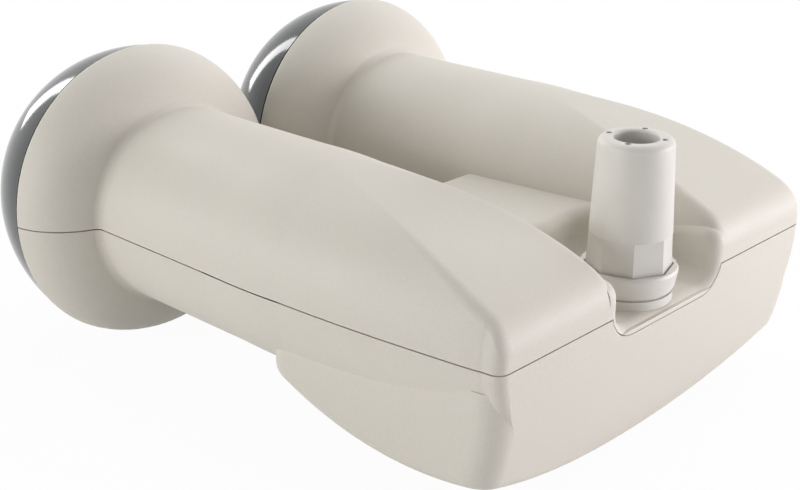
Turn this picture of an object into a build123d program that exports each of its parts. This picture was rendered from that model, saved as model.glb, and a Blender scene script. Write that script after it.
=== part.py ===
"""Twin-feed satellite LNB with one cable outlet under a pull-off weather boot.

Millimetres, +Z up along the boot, +Y from the rear face towards the feed caps.
It is drawn about the middle of the rear edge at the parting plane, then moved
so that the origin is the bottom centre of the whole unit.
"""
from math import cos, degrees, pi, radians, sin, sqrt
import os

from build123d import *

# Feeds and necks
feed_spacing = 62.0
neck_radius = 20.0
neck_start = 64.0
head_bulge = 14.3
head_lead = 1.8
rim_radius = 30.6
rim_y = 109.0
rim_land = 0.4
wall = 2.2

# Shoulders that carry the necks back to the rear face
rear_half_width = 15.0
top_arc_radius = 128.0
top_arc_end = 57.0
crease_radius = 2.6
rear_edge_radius = 1.8
rear_top_radius = 4.2
rear_bow = 60.0
rear_bow_top = -4.0

# Web and belly between the shoulders
web_front = 58.5
web_rear_height = 6.4
web_front_height = 5.3
web_depth = 16.0
web_half = 18.0
web_edge_radius = 3.2
belly_rear_half = 46.4
belly_front_half = 47.5
belly_front = 53.2
belly_depth = 31.8
belly_lowest = 20.8
belly_bow_along = 78.0
belly_bow_across = 135.0
belly_corner_radius = 4.8
belly_edge_radius = 2.8

# Pocket round the boot
boot_y = 8.9
pocket_half = 14.8
pocket_front = 26.4
pocket_corner = 9.0
pocket_floor = 3.4
pocket_floor_radius = 4.0
pocket_mouth = 1.6
pocket_rim_radius = 2.4
tub_floor_share = 0.6
parting_gap = 0.25

# Feed caps and their seals
seal_thickness = 0.6
cap_step = 0.3
cap_height = 27.4
cap_wall = 2.0
skirt_wall = 1.6
skirt_length = 2.4

# Fits, and a length past the whole unit for cutting shapes
clearance = 0.3
reach = 150.0

# Weather boot and collar
boot_top = 26.0
boot_top_radius = 6.62
boot_foot_radius = 7.72
boot_wall = 1.1
boot_top_wall = 3.0
cable_hole_radius = 3.95
flat_top = 8.9
flat_apothem = 7.14
drain_circle = 4.95
drain_radius = 0.45
boot_turn = 17.5
collar_top = 2.7
collar_radius = 8.8
collar_waist_radius = 8.35
collar_foot_radius = 8.0
collar_seat = 0.6
collar_waist = 1.1
collar_lip = 0.5
groove_z = -1.3
groove_width = 0.45
groove_radius = 7.4
crown_radius = 1.3
hole_edge_radius = 0.6
drain_depth = 1.4
flats = 8

# Cast housing: waveguides, horns and the board tray
guide_bore = 9.0
guide_wall = 2.6
guide_end = 28.0
horn_lip = 108.0
horn_throat = 17.0
choke_inner = 18.6
tray_half = 38.0
tray_rear = 4.6
tray_front = 47.0
tray_wall = 2.4
tray_share = 0.51
ledge = 1.5
gasket_thickness = 0.6
lid_thickness = 1.6
horn_start = 92.2
horn_middle = 101.5
horn_shoulder = 105.0
choke_bottom = 103.2
choke_shoulder = 105.8
choke_wall = 1.6

# Lid screws and their bosses
boss_radius = 3.0
boss_sink = 0.8
screw_radius = 1.25
screw_depth = 5.6
screw_play = 0.15
screw_head_radius = 2.2
screw_head_height = 1.2
recess_half = 1.2
recess_width = 0.5
recess_depth = 0.6

# Ribs inside the covers
rib_thickness = 2.0
neck_ribs = (6.0, 22.0)
lid_ribs = (16.0, 34.0)
lid_rib_half = 26.0

# Probes
pin_radius = 0.65
pin_bend = 1.6
pin_stub = 0.5
bead_radius = 1.9
upright_offset = 8.0
bent_offset = 14.0
upright_height = 5.5
bent_reach = 4.0
riser_gap = 3.4

# Board
board_height = 3.8
board_thickness = 1.2
lid_bar = 1.4
lid_bar_x = 9.0
lid_bar_rear = 6.0
lid_bar_front = 5.0
lid_bar_play = 0.9

# Output connector, the usual 3/8 inch thread
thread_radius = 4.76
thread_relief = 0.5
thread_top = 12.0
flange_thickness = 2.0
flange_reach = 1.6
spigot_reach = 0.6
sleeve_radius = 3.2
insulator_recess = 0.6
contact_radius = 1.1
contact_recess = 0.4
socket_radius = 0.5
socket_depth = 7.0
seal_height = 1.0

feed_x = feed_spacing / 2
guide_radius = guide_bore + guide_wall
shank_radius = thread_radius - thread_relief
cap_rim_radius = rim_radius - cap_step
tray_top = -pocket_floor - wall - clearance
tray_bottom = -tray_share * belly_depth
board_top = tray_bottom + board_height
sides = {"left": -1, "right": 1}


def half_width(y):
    """Half width of a shoulder at the parting plane."""
    return neck_radius - (neck_radius - rear_half_width) * (max(neck_start - y, 0) / neck_start) ** 2


def half_height(y):
    return (half_width(y) + neck_radius) / 2


def top_height(y):
    """Height of the shoulder's sloping top."""
    return neck_radius - top_arc_radius + sqrt(top_arc_radius ** 2 - max(top_arc_end - y, 0) ** 2)


def shoulder_section(y, inset, drop=0.0):
    """Ellipse cut by the sloping top, with soft creases; a full round where the neck begins."""
    w = half_width(y) - inset
    b = half_height(y) - inset
    h = top_height(y) - inset - drop
    radius = crease_radius - inset

    def on_ellipse(angle):
        return Vector(w * cos(angle), b * sin(angle))

    def corner_centre(angle):
        inward = Vector(-cos(angle) / w, -sin(angle) / b).normalized()
        return on_ellipse(angle) + inward * radius

    if y >= neck_start:
        meet = radians(68)
        bend, crest, crown = on_ellipse(radians(74)), on_ellipse(radians(80)), on_ellipse(pi / 2)
    else:
        low, meet = 0.0, pi / 2
        for _ in range(50):
            angle = (low + meet) / 2
            if corner_centre(angle).Y > h - radius:
                meet = angle
            else:
                low = angle
        centre = corner_centre(meet)
        outward = (on_ellipse(meet) - centre).normalized()
        bend = centre + (outward + Vector(0, 1)).normalized() * radius
        crest = Vector(centre.X, h)
        crown = Vector(0, h + 0.1)

    def other(point):
        return Vector(-point.X, point.Y)

    start = on_ellipse(meet)
    lower = EllipticalCenterArc((0, 0), w, b, 180 - degrees(meet), arc_size=180 + 2 * degrees(meet))
    right = ThreePointArc(start, bend, crest)
    top = ThreePointArc(crest, crown, other(crest))
    left = ThreePointArc(other(crest), other(bend), other(start))
    plane = Plane(origin=(0, y, 0), x_dir=(1, 0, 0), z_dir=(0, -1, 0))
    return plane * make_face(Wire([lower, right, top, left]))


def rear_cut(inset):
    """What the bow of the rear face takes off below the parting plane."""
    centre = Vector(rear_bow, rear_bow_top)

    def bowed(angle):
        return centre + Vector(-cos(radians(angle)), -sin(radians(angle))) * (rear_bow - inset)

    end = bowed(60)
    lines = [
        ThreePointArc(bowed(0), bowed(30), end),
        Polyline(end, (-reach, end.Y), (-reach, rear_bow_top), bowed(0)),
    ]
    return extrude(Plane.YZ * make_face(lines), reach, both=True)


def rounding(y, radius):
    """How far a rounded rear edge falls back at this distance from the rear face."""
    return radius - sqrt(radius ** 2 - max(radius - y, 0) ** 2)


def shoulder(inset):
    """One shoulder about its own axis; outside, its top rolls over into the rear face."""
    rear = inset or rear_top_radius
    body = loft([shoulder_section(y, inset) for y in (rear, 13, 24, 36, 48, neck_start)])
    if inset == 0:
        turns = [rear_top_radius * (1 - sin(radians(a))) for a in (90, 75, 60, 45, 25, 0)]
        ends = []
        for y in turns:
            side = rounding(y, rear_edge_radius)
            ends.append(shoulder_section(y, side, rounding(y, rear_top_radius) - side))
        body += loft(ends)
    return body - rear_cut(inset)


def neck_and_head(inset, front):
    """Neck and round-backed head of one feed, turned about the feed axis."""
    radius = neck_radius - inset
    bulge = head_bulge - inset
    centre = Vector(rim_radius - sqrt(head_bulge ** 2 - head_lead ** 2), rim_y + head_lead)
    start = Vector(radius, centre.Y - sqrt(bulge ** 2 - (radius - centre.X) ** 2))
    end = Vector(centre.X + sqrt(bulge ** 2 - (head_lead + rim_land) ** 2), rim_y - rim_land)
    middle = centre + ((start - centre).normalized() + (end - centre).normalized()).normalized() * bulge
    lines = [
        Polyline((0, neck_start), (radius, neck_start), start),
        ThreePointArc(start, middle, end),
        Polyline(end, (end.X, front), (0, front), (0, neck_start)),
    ]
    return revolve(make_face(lines), Axis.Y)


def web(inset):
    """Low bridge between the two shoulders."""
    front = web_front - inset
    face = Polyline(
        (inset, web_rear_height - inset),
        (front, web_front_height - inset),
        (front, inset - web_depth),
        (inset, inset - web_depth),
        close=True,
    )
    body = extrude(Plane.YZ * make_face(face), web_half, both=True)
    top = body.faces().sort_by(Axis.Z)[-1]
    body = fillet(top.edges().filter_by(Axis.X), web_edge_radius - inset)
    if inset == 0:
        body -= pocket(0)
        rim = body.edges().filter_by(lambda edge: edge.center().Z > 0 and on_pocket_front(edge))
        body = fillet(rim, pocket_rim_radius)
    return body - rear_cut(inset)


def on_pocket_front(edge):
    """Whether an edge belongs to the rounded front of the pocket's rim."""
    return edge.center().Y > pocket_front - pocket_corner and edge.bounding_box().max.Y < pocket_front + 0.1


def belly(inset):
    """Lower body under the shoulders, bowed to the rear and below, with soft edges."""
    rear, front = belly_rear_half - inset, belly_front_half - inset
    plan = Polyline(
        (-rear, inset), (rear, inset), (front, belly_front - inset), (-front, belly_front - inset), close=True
    )
    body = Pos(0, 0, rear_bow_top) * extrude(make_face(plan), -2 * belly_depth)
    axle = belly_bow_along - belly_depth
    side = 1.3 * belly_front_half
    low = inset - belly_depth
    sag = belly_bow_across - sqrt(belly_bow_across ** 2 - side ** 2)
    lines = [
        ThreePointArc((-side, low + sag), (0, low), (side, low + sag)),
        Polyline((side, low + sag), (side, axle), (-side, axle), (-side, low + sag)),
    ]
    face = Plane(origin=(0, belly_lowest, 0), x_dir=(1, 0, 0), z_dir=(0, -1, 0)) * make_face(lines)
    barrel = revolve(face, Axis((0, belly_lowest, axle), (1, 0, 0)))
    body = (body & barrel) - rear_cut(inset)
    corners = body.edges().filter_by(lambda edge: abs(edge.tangent_at(0.5).Z) > 0.6)
    body = fillet(corners, belly_corner_radius - inset)
    below = body.faces().sort_by(Axis.Z)[0]
    return fillet(below.edges(), belly_edge_radius - inset)


def pocket(offset):
    """Hollow round the boot, open to the rear; with an offset, the tub that walls it in."""
    half = pocket_half + offset
    front = pocket_front + offset
    plan = Polyline((-half, -boot_y), (half, -boot_y), (half, front), (-half, front), close=True)
    face = make_face(plan)
    face = fillet(face.vertices().group_by(Axis.Y)[-1], pocket_corner + offset)
    body = Pos(0, 0, -pocket_floor - offset * tub_floor_share) * extrude(face, 2 * neck_radius)
    floor = body.faces().sort_by(Axis.Z)[0]
    edges = floor.edges().sort_by(Axis.Y)[1:]
    return fillet(edges, pocket_floor_radius + offset)


def pocket_flare():
    """Rounding of the pocket's mouth in the rear face."""

    def outline(y, offset):
        half = pocket_half + offset
        floor = -pocket_floor - offset * tub_floor_share
        top = 2 * neck_radius
        face = make_face(Polyline((-half, top), (half, top), (half, floor), (-half, floor), close=True))
        face = fillet(face.vertices().group_by(Axis.Y)[0], pocket_floor_radius + offset)
        return Plane(origin=(0, y, 0), x_dir=(1, 0, 0), z_dir=(0, -1, 0)) * face

    turns = [radians(a) for a in (90, 60, 30, 0)]
    steps = [outline(pocket_mouth * (1 - sin(a)), pocket_mouth * (1 - cos(a))) for a in turns]
    return loft(steps)


def both(shape):
    """A feed's shape at the left and the right feed axis."""
    return Pos(-feed_x, 0, 0) * shape + Pos(feed_x, 0, 0) * shape


def envelope(inset, front):
    feeds = both(shoulder(inset)) + both(neck_and_head(inset, front))
    if inset == 0:
        feeds -= pocket(0)
    return feeds + (web(inset) + belly(inset))


def turned(points, axis):
    return revolve(make_face(Polyline(*points, close=True)), axis)


def boxed(x0, x1, y0, y1, z0, z1):
    """Box by its limits."""
    return Pos((x0 + x1) / 2, (y0 + y1) / 2, (z0 + z1) / 2) * Box(x1 - x0, y1 - y0, z1 - z0)


def rod(x, y, z0, z1, radius):
    """Upright cylinder by its ends."""
    return Pos(x, y, (z0 + z1) / 2) * Cylinder(radius, z1 - z0)


# Covers: one moulded skin, parted at mid height except round the pocket
tub = pocket(wall)
inside = envelope(wall, rim_y + wall)
skin = envelope(0, rim_y) - pocket_flare()
skin -= inside - tub

# Ribs that hold the waveguides in the necks
rib_inner = guide_radius + clearance
rib_outer = neck_radius - wall / 2
for offset in neck_ribs:
    y0 = neck_start + offset
    y1 = y0 + rib_thickness
    skin += both(turned([(rib_inner, y0), (rib_outer, y0), (rib_outer, y1), (rib_inner, y1)], Axis.Y))

# Ribs under the tray lid
lid_bottom = tray_bottom - gasket_thickness - lid_thickness
rib_seat = lid_bottom - clearance
for y in lid_ribs:
    skin += boxed(-lid_rib_half, lid_rib_half, y, y + rib_thickness, -2 * belly_depth, rib_seat) & inside

flange_radius = thread_radius + flange_reach
skin -= rod(0, boot_y, -pocket_floor - 2 * wall, 0, flange_radius + clearance)
upper_half = boxed(-reach, reach, -reach, reach, 0, reach)
lower_edge = boxed(-reach, reach, -reach, reach, -parting_gap, reach)
upper_cover = skin & (upper_half + tub)
lower_cover = skin - lower_edge - pocket(wall + parting_gap)

# Feed caps: a dome with a skirt that plugs into the head, and a flat seal behind the rim
cap_face = rim_y + seal_thickness
dome_radius = (cap_rim_radius ** 2 + cap_height ** 2) / (2 * cap_height)
dome_centre = cap_face + cap_height - dome_radius


def dome(radius):
    """Ball of the dome, kept in front of the rim."""
    low = cap_face - dome_centre
    edge = sqrt(radius ** 2 - low ** 2)
    middle = (Vector(edge, low) + Vector(0, radius)).normalized() * radius
    lines = [
        ThreePointArc((edge, low), middle, (0, radius)),
        Polyline((0, radius), (0, low), (edge, low)),
    ]
    return Pos(0, dome_centre, 0) * revolve(make_face(lines), Axis.Y)


skirt_outer = rim_radius - wall - 2 * clearance
skirt_inner = skirt_outer - skirt_wall
skirt_end = cap_face + skirt_length
skirt = [
    (skirt_inner, cap_face - skirt_length),
    (skirt_outer, cap_face - skirt_length),
    (skirt_outer, cap_face),
    (cap_rim_radius - clearance, cap_face),
    (skirt_outer, skirt_end),
    (skirt_inner, skirt_end),
]
feed_cap = dome(dome_radius) - dome(dome_radius - cap_wall) + turned(skirt, Axis.Y)
seal_outer = cap_rim_radius - seal_thickness
seal_inner = skirt_outer + 2 * clearance
feed_seal = turned(
    [(seal_inner, rim_y), (seal_outer, rim_y), (seal_outer, cap_face), (seal_inner, cap_face)], Axis.Y
)

# Cast housing: two waveguides with choke-ringed horns, and a tray for the board
horn_rim = skirt_inner - clearance
horn_middle_radius = neck_radius - wall - 2 * clearance
horn_outside = [
    (0, guide_end),
    (guide_radius, guide_end),
    (guide_radius, horn_start),
    (horn_middle_radius, horn_middle),
    (horn_rim, horn_shoulder),
    (horn_rim, horn_lip),
    (0, horn_lip),
]
horn_inside = [
    (0, guide_end + guide_wall),
    (guide_bore, guide_end + guide_wall),
    (guide_bore, horn_start),
    (horn_throat, horn_lip),
    (horn_throat, horn_lip + 1),
    (0, horn_lip + 1),
]
choke = [
    (choke_inner, choke_bottom),
    (horn_rim - choke_wall, choke_shoulder),
    (horn_rim - choke_wall, horn_lip + 1),
    (choke_inner, horn_lip + 1),
]
tray = boxed(-tray_half, tray_half, tray_rear, tray_front, tray_bottom, tray_top)
inner_half = tray_half - tray_wall
inner_rear = tray_rear + tray_wall
inner_front = tray_front - tray_wall
roof = tray_top - tray_wall
board_room = boxed(-inner_half, inner_half, inner_rear, inner_front, tray_bottom - 1, board_top)
board_room += boxed(
    ledge - inner_half, inner_half - ledge, inner_rear + ledge, inner_front - ledge, board_top - 1, roof
)
boss_reach = boss_radius - boss_sink
boss_x = inner_half - boss_reach
boss_rear = inner_rear + boss_reach
boss_front = inner_front - boss_reach
boss_spots = [
    (x, y)
    for x in (-boss_x, boss_x)
    for y in (boss_rear, (boss_rear + boss_front) / 2, boss_front)
]
boss_spots += [(-boss_x / 3, boss_front), (boss_x / 3, boss_front)]
screw_tip = tray_bottom + screw_depth
cast_housing = tray - board_room
for x, y in boss_spots:
    cast_housing += rod(x, y, tray_bottom, roof + 1, boss_radius)
cast_housing += both(turned(horn_outside, Axis.Y))
cast_housing -= both(turned(horn_inside, Axis.Y))
cast_housing -= both(turned(choke, Axis.Y))
for x, y in boss_spots:
    cast_housing -= rod(x, y, tray_bottom - 1, screw_tip, screw_radius)

# Probes: one upright and one bent pin from the board into each waveguide
upright_y = guide_end + upright_offset
bent_y = guide_end + bent_offset
riser_x = feed_x - guide_radius - riser_gap
board_bottom = board_top - board_thickness
pin_foot = board_bottom - pin_stub
board_face = boxed(
    clearance - inner_half, inner_half - clearance,
    inner_rear + clearance, inner_front - clearance,
    board_bottom, board_top,
)
probes = {}
beads = []
for name, side in sides.items():
    upright = rod(side * feed_x, upright_y, pin_foot, upright_height - guide_bore, pin_radius)
    path = FilletPolyline(
        (side * riser_x, bent_y, pin_foot),
        (side * riser_x, bent_y, 0),
        (side * (feed_x - bent_reach), bent_y, 0),
        radius=pin_bend,
    )
    bent = sweep(Plane(path @ 0, z_dir=path % 0) * Circle(pin_radius), path)
    probes[name] = Compound([upright, bent])
    floor_hole = rod(side * feed_x, upright_y, -guide_radius - 1, -guide_bore + 1, bead_radius)
    roof_hole = rod(side * riser_x, bent_y, roof - 1, tray_top + 1, bead_radius)
    wall_hole = Pos(side * (feed_x - guide_radius + guide_wall / 2), bent_y, 0) * Rot(0, 90, 0)
    cast_housing -= floor_hole
    cast_housing -= roof_hole
    cast_housing -= wall_hole * Cylinder(bead_radius, guide_wall + 2)
    tube = Cylinder(bead_radius, guide_wall) - Cylinder(pin_radius, guide_wall)
    beads.append(Pos(side * feed_x, upright_y, -guide_bore - guide_wall / 2) * tube)
    beads.append(wall_hole * tube)
    beads.append(Pos(side * riser_x, bent_y, tray_top - guide_wall / 2) * tube)
probe_beads = Compound(beads)

# Output connector: plated body, insulator and contact, standing on the tray roof
flange_top = tray_top + flange_thickness
spigot_radius = thread_radius - spigot_reach
connector_body = rod(0, boot_y, tray_top, flange_top, flange_radius)
thread_start = collar_top + clearance
connector_body += rod(0, boot_y, flange_top, thread_start, shank_radius)
connector_body += rod(0, boot_y, thread_start, thread_top, thread_radius)
connector_body += rod(0, boot_y, roof, tray_top, spigot_radius)
connector_body -= rod(0, boot_y, roof - 1, thread_top + 1, sleeve_radius)
insulator_top = thread_top - insulator_recess
connector_insulator = rod(0, boot_y, board_top, insulator_top, sleeve_radius)
connector_insulator -= rod(0, boot_y, board_top - 1, insulator_top + 1, contact_radius)
contact_top = insulator_top - contact_recess
connector_contact = rod(0, boot_y, pin_foot, contact_top, contact_radius)
connector_contact -= rod(0, boot_y, contact_top - socket_depth, contact_top + 1, socket_radius)
cast_housing -= rod(0, boot_y, roof - 1, tray_top + 1, spigot_radius)
cast_housing -= rod(0, boot_y, board_top - 1, roof + 1, sleeve_radius)

# Board with its parts, and the lid that presses it home
circuit_board = board_face
for x, y in boss_spots:
    circuit_board -= rod(x, y, board_bottom - 1, board_top + 1, boss_radius + clearance)
for x in (-boss_x, boss_x):
    for y in (boss_rear, boss_front):
        circuit_board -= Pos(1.2 * x, y, board_top) * Box(0.4 * boss_x, 4 * boss_radius, 3 * board_thickness)
circuit_board -= rod(0, boot_y, board_bottom - 1, board_top + 1, contact_radius)
for side in sides.values():
    circuit_board -= rod(side * feed_x, upright_y, board_bottom - 1, board_top + 1, pin_radius)
    circuit_board -= rod(side * riser_x, bent_y, board_bottom - 1, board_top + 1, pin_radius)
chips = [
    (-20, 30, 5, 5, 0.9), (20, 30, 5, 5, 0.9), (0, 30, 7, 7, 1.0), (0, 21, 5, 4, 1.0),
    (-24, 20, 3, 3, 0.8), (24, 20, 3, 3, 0.8), (-14, 14, 6, 5, 1.6), (13, 14, 4, 7, 1.4),
    (-6, 36, 3.2, 2.5, 0.8), (6, 36, 3.2, 2.5, 0.8), (20, 12, 3, 2, 1.2), (-21, 12, 3, 2, 1.2),
]
board_components = Compound([
    boxed(x - dx / 2, x + dx / 2, y - dy / 2, y + dy / 2, board_bottom - dz, board_bottom)
    for x, y, dx, dy, dz in chips
])
lid_top = tray_bottom - gasket_thickness
tray_lid = boxed(-tray_half, tray_half, tray_rear, tray_front, lid_bottom, lid_top)
bar_rear = inner_rear + lid_bar_rear
bar_front = boss_front - lid_bar_front
for x in (-lid_bar_x, lid_bar_x):
    bar_top = board_bottom - lid_bar_play
    tray_lid += boxed(x - lid_bar / 2, x + lid_bar / 2, bar_rear, bar_front, lid_top, bar_top)
lid_gasket = boxed(-tray_half, tray_half, tray_rear, tray_front, lid_top, tray_bottom)
lid_gasket -= boxed(-inner_half, inner_half, inner_rear, inner_front, lid_top - 1, tray_bottom + 1)
screws = []
for x, y in boss_spots:
    tray_lid -= rod(x, y, lid_bottom - 1, lid_top + 1, screw_radius + screw_play)
    head_bottom = lid_bottom - screw_head_height
    screw = rod(x, y, lid_bottom, screw_tip, screw_radius)
    screw += rod(x, y, head_bottom, lid_bottom, screw_head_radius)
    slot = Box(2 * recess_half, recess_width, 2 * recess_depth)
    screws.append(screw - Pos(x, y, head_bottom) * (slot + Rot(0, 0, 90) * slot))
lid_screws = Compound(screws)

# Collar that guides the boot's foot, the ring that seals the connector under it, and the boot
seal_top = seal_height - pocket_floor
connector_seal = rod(0, boot_y, flange_top, seal_top, flange_radius)
connector_seal -= rod(0, boot_y, flange_top - 1, seal_top + 1, shank_radius)
recess_top = seal_top + clearance
collar = [
    (flange_radius + clearance, -pocket_floor),
    (collar_foot_radius, -pocket_floor),
    (collar_foot_radius, groove_z - groove_width),
    (groove_radius, groove_z - groove_width),
    (groove_radius, groove_z),
    (collar_foot_radius, groove_z),
    (collar_waist_radius, collar_seat - collar_waist),
    (collar_radius, collar_top - collar_lip),
    (collar_radius - collar_lip / 2, collar_top),
    (shank_radius + clearance, collar_top),
    (shank_radius + clearance, recess_top),
    (flange_radius + clearance, recess_top),
]
boot_collar = revolve(Plane.XZ * make_face(Polyline(*collar, close=True)), Axis.Z)
socket = RegularPolygon(flat_apothem + clearance, flats, major_radius=False)
boot_collar -= Pos(0, 0, collar_seat) * extrude(socket, boot_top)
at_outlet = Pos(0, boot_y, 0) * Rot(0, 0, boot_turn - 180 / flats)
boot_collar = at_outlet * boot_collar

taper = (boot_foot_radius - boot_top_radius) / (boot_top - collar_seat)
ceiling = boot_top - boot_top_wall
boot_face = make_face(Polyline(
    (boot_foot_radius, collar_seat),
    (boot_top_radius, boot_top),
    (cable_hole_radius, boot_top),
    (cable_hole_radius, ceiling),
    (boot_top_radius + taper * boot_top_wall - boot_wall, ceiling),
    (boot_foot_radius - boot_wall, collar_seat),
    close=True,
))
crown = boot_face.vertices().group_by(Axis.Y)[-1].sort_by(Axis.X)
boot_face = fillet(crown[1], crown_radius)
crown = boot_face.vertices().group_by(Axis.Y)[-1].sort_by(Axis.X)
boot_face = fillet(crown[0], hole_edge_radius)
boot = revolve(Plane.XZ * boot_face, Axis.Z)
grip = Circle(2 * boot_foot_radius) - RegularPolygon(flat_apothem, flats, major_radius=False)
boot -= Pos(0, 0, collar_seat - 1) * extrude(grip, flat_top - collar_seat + 1)
for corner in range(4):
    turn = radians(90 * corner + 180 / flats)
    x, y = drain_circle * cos(turn), drain_circle * sin(turn)
    boot -= rod(x, y, boot_top - drain_depth, boot_top + 1, drain_radius)
weather_boot = at_outlet * boot

nodes = {
    "upper_cover": upper_cover,
    "lower_cover": lower_cover,
    "left_feed_cap": Pos(-feed_x, 0, 0) * feed_cap,
    "right_feed_cap": Pos(feed_x, 0, 0) * feed_cap,
    "left_cap_seal": Pos(-feed_x, 0, 0) * feed_seal,
    "right_cap_seal": Pos(feed_x, 0, 0) * feed_seal,
    "cast_housing": cast_housing,
    "tray_lid": tray_lid,
    "lid_gasket": lid_gasket,
    "lid_screws": lid_screws,
    "circuit_board": circuit_board,
    "board_components": board_components,
    "left_probes": probes["left"],
    "right_probes": probes["right"],
    "probe_beads": probe_beads,
    "connector_body": connector_body,
    "connector_insulator": connector_insulator,
    "connector_contact": connector_contact,
    "connector_seal": connector_seal,
    "boot_collar": boot_collar,
    "weather_boot": weather_boot,
}

# The origin is the bottom centre of the whole unit
limits = Compound([part for part in nodes.values()]).bounding_box()
to_origin = Pos(-limits.center().X, -limits.center().Y, -limits.min.Z)
os.makedirs("parts", exist_ok=True)
for name, part in nodes.items():
    export_step(to_origin * part, f"parts/{name}.step")
print("moved by", to_origin.position, "size", limits.size)
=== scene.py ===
# %% [markdown]
# A twin-feed satellite receiver head: two round necks that end in dark caps, a low
# moulded body, and one cable outlet under a pale boot. The shapes come from the packed
# CAD frame. This lesson lights them, gives every part its own finish, and models four
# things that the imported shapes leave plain: the screw thread of the outlet, the flats of
# the boot's grip, the hollow curve behind each head and the level run behind each neck.

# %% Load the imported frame
import math

import bpy
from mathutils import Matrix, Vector


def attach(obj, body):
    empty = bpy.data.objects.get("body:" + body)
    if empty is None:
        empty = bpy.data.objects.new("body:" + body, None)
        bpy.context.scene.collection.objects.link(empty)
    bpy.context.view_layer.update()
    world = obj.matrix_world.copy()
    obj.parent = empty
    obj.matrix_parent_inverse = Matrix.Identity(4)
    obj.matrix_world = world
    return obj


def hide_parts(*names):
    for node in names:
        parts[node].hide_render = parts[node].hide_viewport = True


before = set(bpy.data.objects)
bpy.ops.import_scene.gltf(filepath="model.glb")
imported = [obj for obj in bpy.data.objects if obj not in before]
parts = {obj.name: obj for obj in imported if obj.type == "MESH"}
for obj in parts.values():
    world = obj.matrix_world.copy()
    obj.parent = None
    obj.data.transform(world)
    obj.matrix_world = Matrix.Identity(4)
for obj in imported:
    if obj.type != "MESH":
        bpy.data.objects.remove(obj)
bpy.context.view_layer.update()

# %% [markdown]
# The photograph was taken from behind the rear corner and from above. A camera can be
# turned with three angles, or by one vector that runs from the object back to the lens.
# The vector is easier to read: to_track_quat turns it into a rotation that keeps +Z up.

# %% Camera at the photograph's angle
eye = Vector((-0.19029, -0.18438, 0.12703))
back_to_lens = Vector((-0.67357, -0.63956, 0.37050))
camera_data = bpy.data.cameras.new("camera")
camera_data.lens = 61.45
camera_data.sensor_width = 36.0
camera_data.clip_start = 0.01
camera = bpy.data.objects.new("camera", camera_data)
camera.location = eye
camera.rotation_euler = (-back_to_lens).to_track_quat("-Z", "Y").to_euler()
bpy.context.scene.collection.objects.link(camera)
bpy.context.scene.camera = camera
bpy.context.scene.view_settings.view_transform = "Standard"
print("camera looks from", tuple(eye))

# %% [markdown]
# The object stands in a white light tent. The tent could be a real room of white walls,
# but a world that looks white to the camera and to reflections, and shines more softly on
# the object, does the same with no walls to place.

# %% White surroundings
soft_fill = 0.31
world = bpy.data.worlds.new("light_tent")
world.use_nodes = True
bpy.context.scene.world = world
tree = world.node_tree
background = tree.nodes["Background"]
background.inputs["Color"].default_value = (1.0, 1.0, 1.0, 1.0)


def add_math(tree, operation, first, second):
    """A math node on two values, each of them a socket or a plain number."""
    node = tree.nodes.new("ShaderNodeMath")
    node.operation = operation
    for socket, value in zip(node.inputs, (first, second)):
        if isinstance(value, float):
            socket.default_value = value
        else:
            tree.links.new(value, socket)
    return node.outputs[0]


def add_seen_rays(tree):
    """One for rays that show the surroundings: seen directly, mirrored or through glass."""
    path = tree.nodes.new("ShaderNodeLightPath")
    mirrored = add_math(tree, "MAXIMUM", path.outputs["Is Camera Ray"], path.outputs["Is Glossy Ray"])
    return add_math(tree, "MAXIMUM", mirrored, path.outputs["Is Transmission Ray"])


level = tree.nodes.new("ShaderNodeMapRange")
level.inputs["To Min"].default_value = soft_fill
level.inputs["To Max"].default_value = 1.0
tree.links.new(add_seen_rays(tree), level.inputs["Value"])
tree.links.new(level.outputs["Result"], background.inputs["Strength"])
print("surroundings shine at", soft_fill)

# %% [markdown]
# The floor is a wide white sheet under the belly. Seen directly it is almost pure white,
# and a small share of plain paper stays in its shader so that the object's shadow shows.

# %% Floor
paper_share = 0.04
sheet_white = 0.92
floor_width = 6.0
floor_height = -0.0002
bpy.ops.object.select_all(action="DESELECT")
bpy.ops.mesh.primitive_plane_add(size=floor_width, location=(0, 0, floor_height))
floor = bpy.context.object
floor.name = "floor"
paper = bpy.data.materials.new("white_paper")
paper.use_nodes = True
tree = paper.node_tree
tree.nodes.remove(tree.nodes["Principled BSDF"])
sheet = tree.nodes.new("ShaderNodeBsdfDiffuse")
sheet.inputs["Color"].default_value = (sheet_white, sheet_white, sheet_white, 1.0)
glow = tree.nodes.new("ShaderNodeEmission")
glow.inputs["Strength"].default_value = 1.0
share = add_math(tree, "MULTIPLY", add_seen_rays(tree), 1.0 - paper_share)
blend = tree.nodes.new("ShaderNodeMixShader")
tree.links.new(share, blend.inputs["Fac"])
tree.links.new(sheet.outputs[0], blend.inputs[1])
tree.links.new(glow.outputs[0], blend.inputs[2])
tree.links.new(blend.outputs[0], tree.nodes["Material Output"].inputs["Surface"])
floor.data.materials.append(paper)
print("floor", floor.dimensions[:])

# %% [markdown]
# Four soft boxes bring out the form. The left one lights the near neck, a low, slightly
# cooler one on the right the rear face, a wide one above the tops, and a tall narrow one
# in front gives the caps their white streak. All of them are turned to the same point.

# %% Soft boxes
middle = Vector((0.0, 0.0, 0.03))


def soft_box(name, place, width, height, power, tint=(1.0, 1.0, 1.0)):
    data = bpy.data.lights.new(name, "AREA")
    data.shape = "RECTANGLE"
    data.size = width
    data.size_y = height
    data.energy = power
    data.color = tint
    lamp = bpy.data.objects.new(name, data)
    lamp.location = place
    lamp.rotation_euler = (middle - Vector(place)).to_track_quat("-Z", "Y").to_euler()
    bpy.context.scene.collection.objects.link(lamp)
    print(name, "at", place, "with", power, "W")


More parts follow.
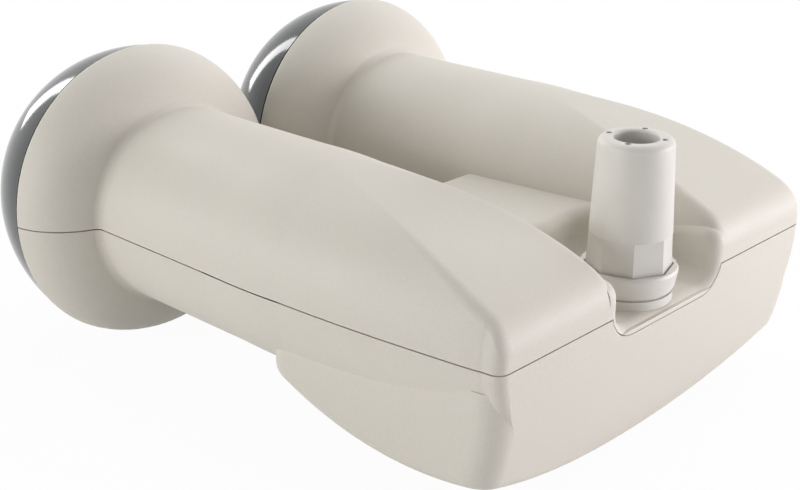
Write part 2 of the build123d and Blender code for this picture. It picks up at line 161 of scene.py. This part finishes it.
soft_box("left_box", (-0.85, 0.4, 0.22), width=0.7, height=0.35, power=4.2)
soft_box("right_box", (0.33, -0.4, 0.1), width=0.35, height=0.16, power=1.75, tint=(0.98, 0.945, 1.0))
soft_box("top_box", (0.34, 0.12, 0.6), width=0.9, height=0.9, power=2.95)
soft_box("streak_box", (0.06, 0.95, 0.47), width=0.16, height=0.85, power=2.8)

# %% [markdown]
# Moulded plastic is never one flat colour. The tool leaves a fine grain, and the pigment
# drifts a little from place to place. Metal and rubber vary in the same two ways, so one
# node group serves every finish: Speck is the fine grain, Drift the slow change, and both
# read Object coordinates.

# %% Grain shared by all finishes
grain = bpy.data.node_groups.new("moulded_grain", "ShaderNodeTree")
grain.interface.new_socket("Grain Scale", in_out="INPUT", socket_type="NodeSocketFloat")
grain.interface.new_socket("Drift Scale", in_out="INPUT", socket_type="NodeSocketFloat")
grain.interface.new_socket("Speck", in_out="OUTPUT", socket_type="NodeSocketFloat")
grain.interface.new_socket("Drift", in_out="OUTPUT", socket_type="NodeSocketFloat")
inlet = grain.nodes.new("NodeGroupInput")
outlet = grain.nodes.new("NodeGroupOutput")
place = grain.nodes.new("ShaderNodeTexCoord")
for scale, detail, mask in (("Grain Scale", 2.0, "Speck"), ("Drift Scale", 3.0, "Drift")):
    noise = grain.nodes.new("ShaderNodeTexNoise")
    noise.inputs["Detail"].default_value = detail
    grain.links.new(place.outputs["Object"], noise.inputs["Vector"])
    grain.links.new(inlet.outputs[scale], noise.inputs["Scale"])
    grain.links.new(noise.outputs["Fac"], outlet.inputs[mask])
print("group", grain.name, "with", len(grain.nodes), "nodes")

# %% [markdown]
# Dust settles where a surface looks up. The normal's height is a mask for that, broken up
# by noise, and a little of it makes plastic and metal look used. Several finishes share
# it, so it is a group as well.

# %% Dust shared by several finishes
dust = bpy.data.node_groups.new("settled_dust", "ShaderNodeTree")
dust.interface.new_socket("Amount", in_out="INPUT", socket_type="NodeSocketFloat")
dust.interface.new_socket("Mask", in_out="OUTPUT", socket_type="NodeSocketFloat")
inlet = dust.nodes.new("NodeGroupInput")
outlet = dust.nodes.new("NodeGroupOutput")
surface = dust.nodes.new("ShaderNodeNewGeometry")
split = dust.nodes.new("ShaderNodeSeparateXYZ")
upward = dust.nodes.new("ShaderNodeMapRange")
upward.inputs["From Min"].default_value = 0.3
upward.inputs["From Max"].default_value = 1.0
place = dust.nodes.new("ShaderNodeTexCoord")
patches = dust.nodes.new("ShaderNodeTexNoise")
patches.inputs["Scale"].default_value = 160.0
patches.inputs["Detail"].default_value = 4.0
dust.links.new(surface.outputs["Normal"], split.inputs[0])
dust.links.new(split.outputs["Z"], upward.inputs["Value"])
dust.links.new(place.outputs["Object"], patches.inputs["Vector"])
broken = add_math(dust, "MULTIPLY", upward.outputs["Result"], patches.outputs["Fac"])
settled = add_math(dust, "MULTIPLY", broken, inlet.outputs["Amount"])
dust.links.new(settled, outlet.inputs["Mask"])
print("group", dust.name, "with", len(dust.nodes), "nodes")

# %% [markdown]
# Every finish starts in the same way: a new material, the grain group placed with its two
# scales, and a mask spread over two colours or two values. Noise stays mostly between 0.3
# and 0.7, so the helpers stretch that range and not the whole from 0 to 1.

# %% Helpers that start a finish
mask_start, mask_end = 0.3, 0.7


def start_finish(name, metallic=0.0):
    finish = bpy.data.materials.new(name)
    finish.use_nodes = True
    shader = finish.node_tree.nodes["Principled BSDF"]
    shader.inputs["Metallic"].default_value = metallic
    return finish, finish.node_tree, shader


def place_grain(tree, grain_scale, drift_scale):
    node = tree.nodes.new("ShaderNodeGroup")
    node.node_tree = grain
    node.inputs["Grain Scale"].default_value = grain_scale
    node.inputs["Drift Scale"].default_value = drift_scale
    return node


def two_colours(tree, mask, low, high):
    """Colours from low to high over the mask's range."""
    ramp = tree.nodes.new("ShaderNodeValToRGB")
    for element, position, colour in zip(ramp.color_ramp.elements, (mask_start, mask_end), (low, high)):
        element.position = position
        element.color = (*colour, 1.0)
    tree.links.new(mask, ramp.inputs["Fac"])
    return ramp.outputs["Color"]


def spread(tree, mask, low, high):
    """Values from low to high over the mask's range."""
    node = tree.nodes.new("ShaderNodeMapRange")
    node.inputs["From Min"].default_value = mask_start
    node.inputs["From Max"].default_value = mask_end
    node.inputs["To Min"].default_value = low
    node.inputs["To Max"].default_value = high
    tree.links.new(mask, node.inputs["Value"])
    return node.outputs["Result"]


print("masks are spread from", mask_start, "to", mask_end)

# %% [markdown]
# A finish ends in the same way too: dust mixed over the colour, a height turned into bumps,
# and the material put on its parts. With these helpers each finish comes down to the values
# that make it different.

# %% Helpers that complete a finish
def lay_over(tree, mask, colour, top_colour):
    """A plain colour laid over another where the mask is high."""
    node = tree.nodes.new("ShaderNodeMix")
    node.data_type = "RGBA"
    tree.links.new(mask, node.inputs["Factor"])
    tree.links.new(colour, node.inputs["A"])
    node.inputs["B"].default_value = (*top_colour, 1.0)
    return node.outputs["Result"]


def dusty(tree, colour, amount, dust_colour):
    node = tree.nodes.new("ShaderNodeGroup")
    node.node_tree = dust
    node.inputs["Amount"].default_value = amount
    return lay_over(tree, node.outputs["Mask"], colour, dust_colour)


def bumps(tree, shader, height, distance, strength):
    bump = tree.nodes.new("ShaderNodeBump")
    bump.inputs["Distance"].default_value = distance
    bump.inputs["Strength"].default_value = strength
    tree.links.new(height, bump.inputs["Height"])
    tree.links.new(bump.outputs["Normal"], shader.inputs["Normal"])


def wear(finish, *names):
    """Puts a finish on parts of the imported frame."""
    for name in names:
        parts[name].data.materials.clear()
        parts[name].data.materials.append(finish)
    print(finish.name, "on", ", ".join(names))


print("ready to dress", len(parts), "parts")

# %% [markdown]
# The two covers are a warm pale grey ABS with a fine spark-eroded grain and hardly any
# shine. The grain is about a quarter of a millimetre, so its bump is only microns deep.

# %% Housing finish
housing, tree, shader = start_finish("housing_plastic")
marks = place_grain(tree, grain_scale=3600.0, drift_scale=55.0)
fine = two_colours(tree, marks.outputs["Speck"], (0.625, 0.59, 0.52), (0.705, 0.67, 0.6))
broad = two_colours(tree, marks.outputs["Drift"], (0.655, 0.625, 0.55), (0.675, 0.635, 0.565))
even = tree.nodes.new("ShaderNodeMix")
even.data_type = "RGBA"
even.inputs["Factor"].default_value = 0.5
tree.links.new(fine, even.inputs["A"])
tree.links.new(broad, even.inputs["B"])
tone = even.outputs["Result"]
aged = dusty(tree, tone, amount=0.12, dust_colour=(0.72, 0.7, 0.65))
tree.links.new(aged, shader.inputs["Base Color"])
tree.links.new(spread(tree, marks.outputs["Drift"], 0.5, 0.6), shader.inputs["Roughness"])
bumps(tree, shader, marks.outputs["Speck"], distance=0.00002, strength=0.25)
wear(housing, "upper_cover", "lower_cover")

# %% [markdown]
# The boot and its collar are a softer, cooler grey plastic. It is smoother than the
# covers, with faint cloudy marks, so its grain is shallower and its shine a little higher.

# %% Boot finish
boot, tree, shader = start_finish("boot_plastic")
marks = place_grain(tree, grain_scale=2600.0, drift_scale=140.0)
tone = two_colours(tree, marks.outputs["Drift"], (0.67, 0.648, 0.598), (0.71, 0.688, 0.638))
aged = dusty(tree, tone, amount=0.1, dust_colour=(0.71, 0.7, 0.66))
tree.links.new(aged, shader.inputs["Base Color"])
tree.links.new(spread(tree, marks.outputs["Speck"], 0.4, 0.5), shader.inputs["Roughness"])
bumps(tree, shader, marks.outputs["Speck"], distance=0.00001, strength=0.12)
wear(boot, "weather_boot", "boot_collar")

# %% [markdown]
# The feed caps are dark grey and polished. What shows on them is mostly what they mirror,
# so the colour is simple and the roughness low, with faint wiping marks in it.

# %% Cap finish
cap, tree, shader = start_finish("cap_gloss")
marks = place_grain(tree, grain_scale=900.0, drift_scale=45.0)
tone = two_colours(tree, marks.outputs["Drift"], (0.038, 0.044, 0.042), (0.048, 0.054, 0.052))
aged = dusty(tree, tone, amount=0.08, dust_colour=(0.3, 0.3, 0.29))
tree.links.new(aged, shader.inputs["Base Color"])
tree.links.new(spread(tree, marks.outputs["Drift"], 0.07, 0.13), shader.inputs["Roughness"])
bumps(tree, shader, marks.outputs["Drift"], distance=0.0001, strength=0.02)
wear(cap, "left_feed_cap", "right_feed_cap")

# %% [markdown]
# Black rubber seals the caps, the tray lid and the outlet. Rubber is dull, and powdery
# where it has aged, so the dust is stronger here.

# %% Seal finish
seal, tree, shader = start_finish("seal_rubber")
marks = place_grain(tree, grain_scale=1800.0, drift_scale=120.0)
tone = two_colours(tree, marks.outputs["Drift"], (0.018, 0.018, 0.018), (0.032, 0.031, 0.03))
aged = dusty(tree, tone, amount=0.3, dust_colour=(0.12, 0.12, 0.11))
tree.links.new(aged, shader.inputs["Base Color"])
tree.links.new(spread(tree, marks.outputs["Speck"], 0.7, 0.85), shader.inputs["Roughness"])
bumps(tree, shader, marks.outputs["Speck"], distance=0.00003, strength=0.3)
wear(seal, "left_cap_seal", "right_cap_seal", "lid_gasket", "connector_seal")

# %% [markdown]
# The waveguides, horns and tray are one aluminium casting, and its lid a second. Cast skin
# is grainy and uneven in shine, so both the bump and the roughness follow the grain.

# %% Casting finish
casting, tree, shader = start_finish("cast_aluminium", metallic=1.0)
marks = place_grain(tree, grain_scale=1400.0, drift_scale=90.0)
tone = two_colours(tree, marks.outputs["Drift"], (0.55, 0.55, 0.55), (0.68, 0.68, 0.67))
aged = dusty(tree, tone, amount=0.15, dust_colour=(0.5, 0.5, 0.48))
tree.links.new(aged, shader.inputs["Base Color"])
tree.links.new(spread(tree, marks.outputs["Speck"], 0.38, 0.6), shader.inputs["Roughness"])
bumps(tree, shader, marks.outputs["Speck"], distance=0.00006, strength=0.35)
wear(casting, "cast_housing", "tray_lid")

# %% [markdown]
# The lid screws are zinc plated: bright, with a faint yellow cast that drifts.

# %% Screw finish
zinc, tree, shader = start_finish("zinc_plate", metallic=1.0)
marks = place_grain(tree, grain_scale=2400.0, drift_scale=300.0)
tone = two_colours(tree, marks.outputs["Drift"], (0.6, 0.6, 0.6), (0.68, 0.65, 0.56))
tree.links.new(tone, shader.inputs["Base Color"])
tree.links.new(spread(tree, marks.outputs["Speck"], 0.25, 0.4), shader.inputs["Roughness"])
bumps(tree, shader, marks.outputs["Speck"], distance=0.00001, strength=0.2)
wear(zinc, "lid_screws")

# %% [markdown]
# The board is green with copper runs under the mask. A brick pattern with wide bricks and
# thin joints makes plausible straight runs, a little lighter and higher than the rest.

# %% Board finish
board, tree, shader = start_finish("board_mask")
marks = place_grain(tree, grain_scale=3000.0, drift_scale=100.0)
place = tree.nodes.new("ShaderNodeTexCoord")
runs = tree.nodes.new("ShaderNodeTexBrick")
runs.inputs["Scale"].default_value = 180.0
runs.inputs["Mortar Size"].default_value = 0.035
runs.inputs["Mortar Smooth"].default_value = 0.2
tree.links.new(place.outputs["Object"], runs.inputs["Vector"])
mask_green = two_colours(tree, marks.outputs["Drift"], (0.018, 0.12, 0.05), (0.026, 0.16, 0.07))
printed = lay_over(tree, runs.outputs["Fac"], mask_green, (0.06, 0.26, 0.11))
tree.links.new(printed, shader.inputs["Base Color"])
tree.links.new(spread(tree, marks.outputs["Speck"], 0.25, 0.35), shader.inputs["Roughness"])
bumps(tree, shader, runs.outputs["Fac"], distance=0.00004, strength=0.4)
wear(board, "circuit_board")

# %% [markdown]
# The parts on the board are black moulded packages with a matt, slightly sandy face.

# %% Package finish
package, tree, shader = start_finish("black_package")
marks = place_grain(tree, grain_scale=5000.0, drift_scale=400.0)
tone = two_colours(tree, marks.outputs["Drift"], (0.02, 0.02, 0.021), (0.035, 0.035, 0.036))
tree.links.new(tone, shader.inputs["Base Color"])
tree.links.new(spread(tree, marks.outputs["Speck"], 0.5, 0.65), shader.inputs["Roughness"])
bumps(tree, shader, marks.outputs["Speck"], distance=0.00002, strength=0.3)
wear(package, "board_components")

# %% [markdown]
# Probes and the outlet's contact are brass, darker where it has begun to tarnish.

# %% Brass finish
brass, tree, shader = start_finish("contact_brass", metallic=1.0)
marks = place_grain(tree, grain_scale=2500.0, drift_scale=350.0)
tone = two_colours(tree, marks.outputs["Drift"], (0.55, 0.38, 0.14), (0.75, 0.57, 0.26))
tree.links.new(tone, shader.inputs["Base Color"])
tree.links.new(spread(tree, marks.outputs["Speck"], 0.2, 0.38), shader.inputs["Roughness"])
wear(brass, "left_probes", "right_probes", "connector_contact")

# %% [markdown]
# The beads round the probes and the core of the outlet are white insulating plastic, a
# little waxy, so their tone drifts between milk white and cream.

# %% Insulator finish
insulator, tree, shader = start_finish("white_insulator")
marks = place_grain(tree, grain_scale=2000.0, drift_scale=260.0)
tone = two_colours(tree, marks.outputs["Drift"], (0.74, 0.73, 0.68), (0.82, 0.81, 0.78))
aged = dusty(tree, tone, amount=0.1, dust_colour=(0.7, 0.69, 0.66))
tree.links.new(aged, shader.inputs["Base Color"])
tree.links.new(spread(tree, marks.outputs["Speck"], 0.35, 0.45), shader.inputs["Roughness"])
wear(insulator, "connector_insulator", "probe_beads")

# %% [markdown]
# The outlet is nickel plated and turned on a lathe, which leaves fine rings round its axis.
# A wave texture along Z draws those rings in the roughness and the bump.

# %% Nickel finish
nickel, tree, shader = start_finish("turned_nickel", metallic=1.0)
marks = place_grain(tree, grain_scale=1500.0, drift_scale=220.0)
place = tree.nodes.new("ShaderNodeTexCoord")
rings = tree.nodes.new("ShaderNodeTexWave")
rings.bands_direction = "Z"
rings.inputs["Scale"].default_value = 900.0
rings.inputs["Distortion"].default_value = 0.6
tree.links.new(place.outputs["Object"], rings.inputs["Vector"])
tone = two_colours(tree, marks.outputs["Drift"], (0.62, 0.6, 0.55), (0.74, 0.72, 0.67))
tree.links.new(tone, shader.inputs["Base Color"])
tree.links.new(spread(tree, rings.outputs["Fac"], 0.12, 0.26), shader.inputs["Roughness"])
bumps(tree, shader, rings.outputs["Fac"], distance=0.000006, strength=0.3)
wear(nickel, "connector_body")

# %% [markdown]
# Under the boot the outlet carries a screw thread for the plug's nut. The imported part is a
# plain cylinder there, so this piece stands for it. The core is turned as on a lathe: a
# circle is extruded along the axis and resized at every shoulder, and bridging the two open
# ends closes it. Boot and necks need turned rings too, so a helper makes them from an
# outline, a list of radii and places on the axis in millimetres.

# %% Outlet core
millimetre = 0.001
weld_reach = 0.000001
up = (0, 0, 1)
outlet_foot = (0.0, -0.0596, 0.0)


def weld_and_face_out():
    """Joins points that coincide, turns all faces outwards and leaves Edit Mode."""
    bpy.ops.mesh.select_all(action="SELECT")
    bpy.ops.mesh.remove_doubles(threshold=weld_reach)
    bpy.ops.mesh.normals_make_consistent(inside=False)
    bpy.ops.object.mode_set(mode="OBJECT")


def turned_ring(outline, corners, foot, axis, rotation=(0, 0, 0)):
    """A ring round an axis that starts at foot. The rotation lays the first circle across it."""
    foot, axis = Vector(foot), Vector(axis)
    radius, place = outline[0]
    bpy.ops.object.select_all(action="DESELECT")
    bpy.ops.mesh.primitive_circle_add(vertices=corners, radius=radius * millimetre, rotation=rotation,
                                      location=foot + axis * place * millimetre)
    ring = bpy.context.object
    bpy.ops.object.transform_apply(location=True, rotation=True, scale=True)
    bpy.ops.object.mode_set(mode="EDIT")
    bpy.ops.mesh.select_all(action="SELECT")
    for next_radius, next_place in outline[1:]:
        step = axis * (next_place - place) * millimetre
        bpy.ops.mesh.extrude_region_move(TRANSFORM_OT_translate={"value": step})
        grow = next_radius / radius
        bpy.ops.transform.resize(value=[1.0 if along else grow for along in axis],
                                 center_override=foot + axis * next_place * millimetre)
        radius, place = next_radius, next_place
    bpy.ops.mesh.select_non_manifold(extend=False, use_wire=False, use_boundary=True, use_multi_face=False,
                                     use_non_contiguous=False, use_verts=False)
    bpy.ops.mesh.bridge_edge_loops()
    weld_and_face_out()
    return ring


core_outline = [(4.16, 23.5), (4.16, 25.9), (6.36, 25.9), (6.36, 27.9), (4.26, 27.9), (4.26, 34.8),
                (4.2, 35.0), (4.2, 43.4), (3.9, 43.8), (3.2, 43.8), (3.2, 23.5)]
outlet_core = turned_ring(core_outline, 96, outlet_foot, up)
outlet_core.name = "threaded_outlet"
print("core with", len(outlet_core.data.polygons), "faces")

# %% [markdown]
# The ridge of the thread is one triangle carried round and up. The Screw modifier does that
# with the pitch of 32 turns to the inch, and its axis is the origin of the object, which is
# therefore set on the outlet first. The triangle's foot sinks into the core.

# %% Outlet thread
pitch = 0.0254 / 32
thread_turns, steps_per_turn = 9, 48
ridge_size = 0.000433
ridge_place = (0.004327, outlet_foot[1], 0.0355)
bpy.ops.object.select_all(action="DESELECT")
bpy.ops.mesh.primitive_circle_add(vertices=3, radius=ridge_size, location=ridge_place,
                                  rotation=(math.pi / 2, math.pi / 2, 0))
ridge = bpy.context.object
bpy.ops.object.transform_apply(location=True, rotation=True, scale=True)
bpy.context.scene.cursor.location = outlet_foot
bpy.ops.object.origin_set(type="ORIGIN_CURSOR")
climb = ridge.modifiers.new("climb", "SCREW")
climb.axis = "Z"
climb.screw_offset = pitch
climb.iterations = thread_turns
climb.steps = climb.render_steps = steps_per_turn
bpy.ops.object.modifier_apply(modifier="climb")
bpy.ops.object.mode_set(mode="EDIT")
bpy.ops.mesh.select_all(action="SELECT")
bpy.ops.mesh.remove_doubles(threshold=weld_reach)
bpy.ops.mesh.fill_holes(sides=3)
weld_and_face_out()
print("ridge with", len(ridge.data.polygons), "faces")

# %% [markdown]
# Core and ridge are joined into one piece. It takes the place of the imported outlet, rides on
# the housing and wears the nickel. Edges sharper than the crease angle stay crisp.

# %% Outlet in place
crease = math.radians(35)
ridge.select_set(True)
outlet_core.select_set(True)
bpy.context.view_layer.objects.active = outlet_core
bpy.ops.object.join()
bpy.ops.object.transform_apply(location=True, rotation=True, scale=True)
bpy.ops.object.shade_smooth_by_angle(angle=crease)
outlet_core.data.materials.append(nickel)
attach(outlet_core, "housing")
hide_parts("connector_body")
print(outlet_core.name, "spans", outlet_core.dimensions[:])

# %% [markdown]
# The boot is a tapered sleeve with a thick top. Its grip has eight flats that follow the
# taper and end under a small ledge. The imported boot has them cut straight, so this piece
# stands for it. It starts as the outlet did, as a turned ring.

# %% Boot sleeve
sleeve_outline = [(7.72, 32.4), (6.62, 57.8), (3.95, 57.8), (3.95, 54.8), (5.65, 54.8), (6.62, 32.4)]
sleeve_boot = turned_ring(sleeve_outline, 128, outlet_foot, up)
sleeve_boot.name = "grip_boot"
print("sleeve with", len(sleeve_boot.data.polygons), "faces")

# %% [markdown]
# The crown and the lip of the cable hole are rounded. A helper selects points by a test, here
# by height and distance from the axis, and the two rings are beveled one after the other.

# %% Rounded crown
boot_top = 0.0578
ring_slack = 0.00005
crown_radius, crown_rounding = 0.00662, 0.0013
lip_radius, lip_rounding = 0.00395, 0.0006


def select_points(piece, test):
    """Selects the points that pass a test and goes to Edit Mode."""
    bpy.ops.object.mode_set(mode="EDIT")
    bpy.ops.mesh.select_mode(type="VERT")
    bpy.ops.mesh.select_all(action="DESELECT")
    bpy.ops.object.mode_set(mode="OBJECT")
    for point in piece.data.vertices:
        point.select = test(point)
    bpy.ops.object.mode_set(mode="EDIT")


def on_top_ring(point, ring_radius):
    reach = math.hypot(point.co.x - outlet_foot[0], point.co.y - outlet_foot[1])
    return abs(reach - ring_radius) < ring_slack and abs(point.co.z - boot_top) < ring_slack


for ring_radius, rounding in ((crown_radius, crown_rounding), (lip_radius, lip_rounding)):
    select_points(sleeve_boot, lambda point: on_top_ring(point, ring_radius))
    bpy.ops.mesh.select_mode(type="EDGE")
    bpy.ops.mesh.bevel(offset=rounding, segments=8, affect="EDGES")
bpy.ops.object.mode_set(mode="OBJECT")
print("rounded sleeve with", len(sleeve_boot.data.polygons), "faces")

# %% [markdown]
# A ring with an eight-sided, tapered hole can cut all flats at once. Its hole follows the
# taper of the sleeve, and its flat top leaves the ledge.

# %% Flats of the grip
grip_turn = math.radians(-5)
cutter_outline = [(7.745, 31.4), (14.0, 31.4), (14.0, 40.7), (7.342, 40.7)]
flat_cutter = turned_ring(cutter_outline, 8, outlet_foot, up, rotation=(0, 0, grip_turn))
print("flat cutter with", len(flat_cutter.data.polygons), "faces")

# %% [markdown]
# A Boolean takes the cutter away from the sleeve. Four small drain holes stand round the
# cable hole: a pin is made at each of the four places and taken away in the same manner.

# %% Flats and drain holes cut
drain_count, first_drain = 4, 17.5
drain_circle, drain_radius, drain_depth = 0.00495, 0.00055, 0.0036


def cut_away(piece, cutter):
    bpy.ops.object.select_all(action="DESELECT")
    bpy.context.view_layer.objects.active = piece
    piece.select_set(True)
    cut = piece.modifiers.new("cut", "BOOLEAN")
    cut.operation = "DIFFERENCE"
    cut.solver = "EXACT"
    cut.object = cutter
    bpy.ops.object.modifier_apply(modifier="cut")
    bpy.data.objects.remove(cutter)
    print("cut leaves", len(piece.data.polygons), "faces")


cut_away(sleeve_boot, flat_cutter)
for drain in range(drain_count):
    turn = math.radians(first_drain + 360 / drain_count * drain)
    drain_x = outlet_foot[0] + drain_circle * math.cos(turn)
    drain_y = outlet_foot[1] + drain_circle * math.sin(turn)
    bpy.ops.object.select_all(action="DESELECT")
    bpy.ops.mesh.primitive_cylinder_add(vertices=20, radius=drain_radius, depth=drain_depth,
                                        location=(drain_x, drain_y, boot_top))
    bpy.ops.object.transform_apply(location=True, rotation=True, scale=True)
    cut_away(sleeve_boot, bpy.context.object)

# %% [markdown]
# The finished boot rides on the sliding body, so it leaves the outlet as the real one does.
# Its flats meet at shallow angles, so they need a smaller crease angle than the outlet.

# %% Boot in place
bpy.ops.object.mode_set(mode="EDIT")
weld_and_face_out()
bpy.ops.object.shade_smooth_by_angle(angle=math.radians(14))
sleeve_boot.data.materials.clear()
sleeve_boot.data.materials.append(boot)
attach(sleeve_boot, "boot")
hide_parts("weather_boot")
print(sleeve_boot.name, "spans", sleeve_boot.dimensions[:])

# %% [markdown]
# On the real moulding the head flows into its neck with a small hollow curve. A bead with a
# hollow side, laid in the corner, gives that. Its section is the part of a circle between the
# places where it touches the head and the neck, so the rest of the circle is deleted.

# %% Hollow curve behind a head
feed_x, feed_height = -0.031, 0.0318
neck_radius, hollow_radius = 0.02, 0.0018
hollow_x, hollow_y = feed_x + neck_radius + hollow_radius, 0.027104
head_touch, neck_touch, touch_slack = 112.0, 180.0, 0.1
bpy.ops.object.select_all(action="DESELECT")
bpy.ops.mesh.primitive_circle_add(vertices=96, radius=hollow_radius,
                                  location=(hollow_x, hollow_y, feed_height))
bead = bpy.context.object
bpy.ops.object.transform_apply(location=True, rotation=True, scale=True)


def off_the_hollow(point):
    turn = math.degrees(math.atan2(point.co.y - hollow_y, point.co.x - hollow_x)) % 360
    return not head_touch < turn < neck_touch + touch_slack


select_points(bead, off_the_hollow)
bpy.ops.mesh.delete(type="VERT")
bpy.ops.object.mode_set(mode="OBJECT")
print("section keeps", len(bead.data.vertices), "points")

# %% [markdown]
# The section is closed by one point inside the wall: the neck end is extruded to it and the
# head end is joined to it. Spin then carries it round the feed to make a full ring.

# %% Bead spun round the feed
round_steps = 180
forward = (0, 1, 0)
feed_foot = (feed_x, 0.0, feed_height)
inside_wall = Vector((feed_x + 0.0196, 0.0286, feed_height))
neck_end = min(bead.data.vertices, key=lambda point: point.co.y)
head_end = max(bead.data.vertices, key=lambda point: point.co.y)
neck_index, head_index = neck_end.index, head_end.index
to_wall = inside_wall - neck_end.co
select_points(bead, lambda point: point.index == neck_index)
bpy.ops.mesh.extrude_region_move(TRANSFORM_OT_translate={"value": to_wall})
bpy.ops.object.mode_set(mode="OBJECT")
bead.data.vertices[head_index].select = True
bpy.ops.object.mode_set(mode="EDIT")
bpy.ops.mesh.edge_face_add()
bpy.ops.mesh.select_all(action="SELECT")
bpy.ops.mesh.spin(steps=round_steps, angle=math.tau, center=feed_foot, axis=forward)
weld_and_face_out()
print("ring with", len(bead.data.polygons), "faces")

# %% [markdown]
# The covers part along the middle of the necks, so the ring is cut there and each half
# belongs to its own cover, with the parting gap between them. The other feed gets copies.

# %% Bead halves on both feeds
gap_floor, gap_roof = 0.03155, 0.0318


def part_and_copy(ring, label):
    """Halves of a ring round the left feed, one for each cover, and their copies on the right."""
    for cover_name, cut_height, keeps_upper in (("upper", gap_roof, True), ("lower", gap_floor, False)):
        bpy.ops.object.select_all(action="DESELECT")
        ring.select_set(True)
        bpy.context.view_layer.objects.active = ring
        bpy.ops.object.duplicate()
        half = bpy.context.object
        bpy.ops.object.mode_set(mode="EDIT")
        bpy.ops.mesh.select_all(action="SELECT")
        bpy.ops.mesh.bisect(plane_co=(feed_x, 0.0, cut_height), plane_no=up, use_fill=True,
                            clear_inner=keeps_upper, clear_outer=not keeps_upper)
        bpy.ops.mesh.select_all(action="SELECT")
        bpy.ops.mesh.normals_make_consistent(inside=False)
        bpy.ops.object.mode_set(mode="OBJECT")
        bpy.ops.object.shade_smooth_by_angle(angle=crease)
        bpy.ops.object.duplicate()
        other = bpy.context.object
        bpy.ops.transform.translate(value=(-2 * feed_x, 0, 0))
        bpy.ops.object.transform_apply(location=True, rotation=True, scale=True)
        for side, piece in (("left", half), ("right", other)):
            piece.name = side + "_" + cover_name + "_" + label
            piece.data.materials.append(housing)
            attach(piece, "housing")
            print(piece.name, "with", len(piece.data.polygons), "faces")
    bpy.data.objects.remove(ring)


part_and_copy(bead, "neck_curve")

# %% [markdown]
# Where a neck runs into its shoulder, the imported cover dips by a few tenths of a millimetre,
# and a glancing light finds that. A thin sleeve that lies in the wall levels it: a turned ring
# that starts flush with the neck, swells a little and sinks into the shoulder.

# %% Level run from neck to shoulder
run_outline = [(19.97, -3.0), (20.0, -4.4), (20.03, -6.0), (20.07, -8.0), (20.1, -10.0), (20.11, -12.0),
               (20.08, -14.0), (20.0, -16.5), (19.9, -18.5), (19.8, -20.0), (19.68, -21.5), (19.5, -23.0),
               (19.2, -23.0), (19.2, -3.0)]
run = turned_ring(run_outline, round_steps, feed_foot, forward, rotation=(math.pi / 2, 0, 0))
print("level run with", len(run.data.polygons), "faces")
part_and_copy(run, "neck_run")
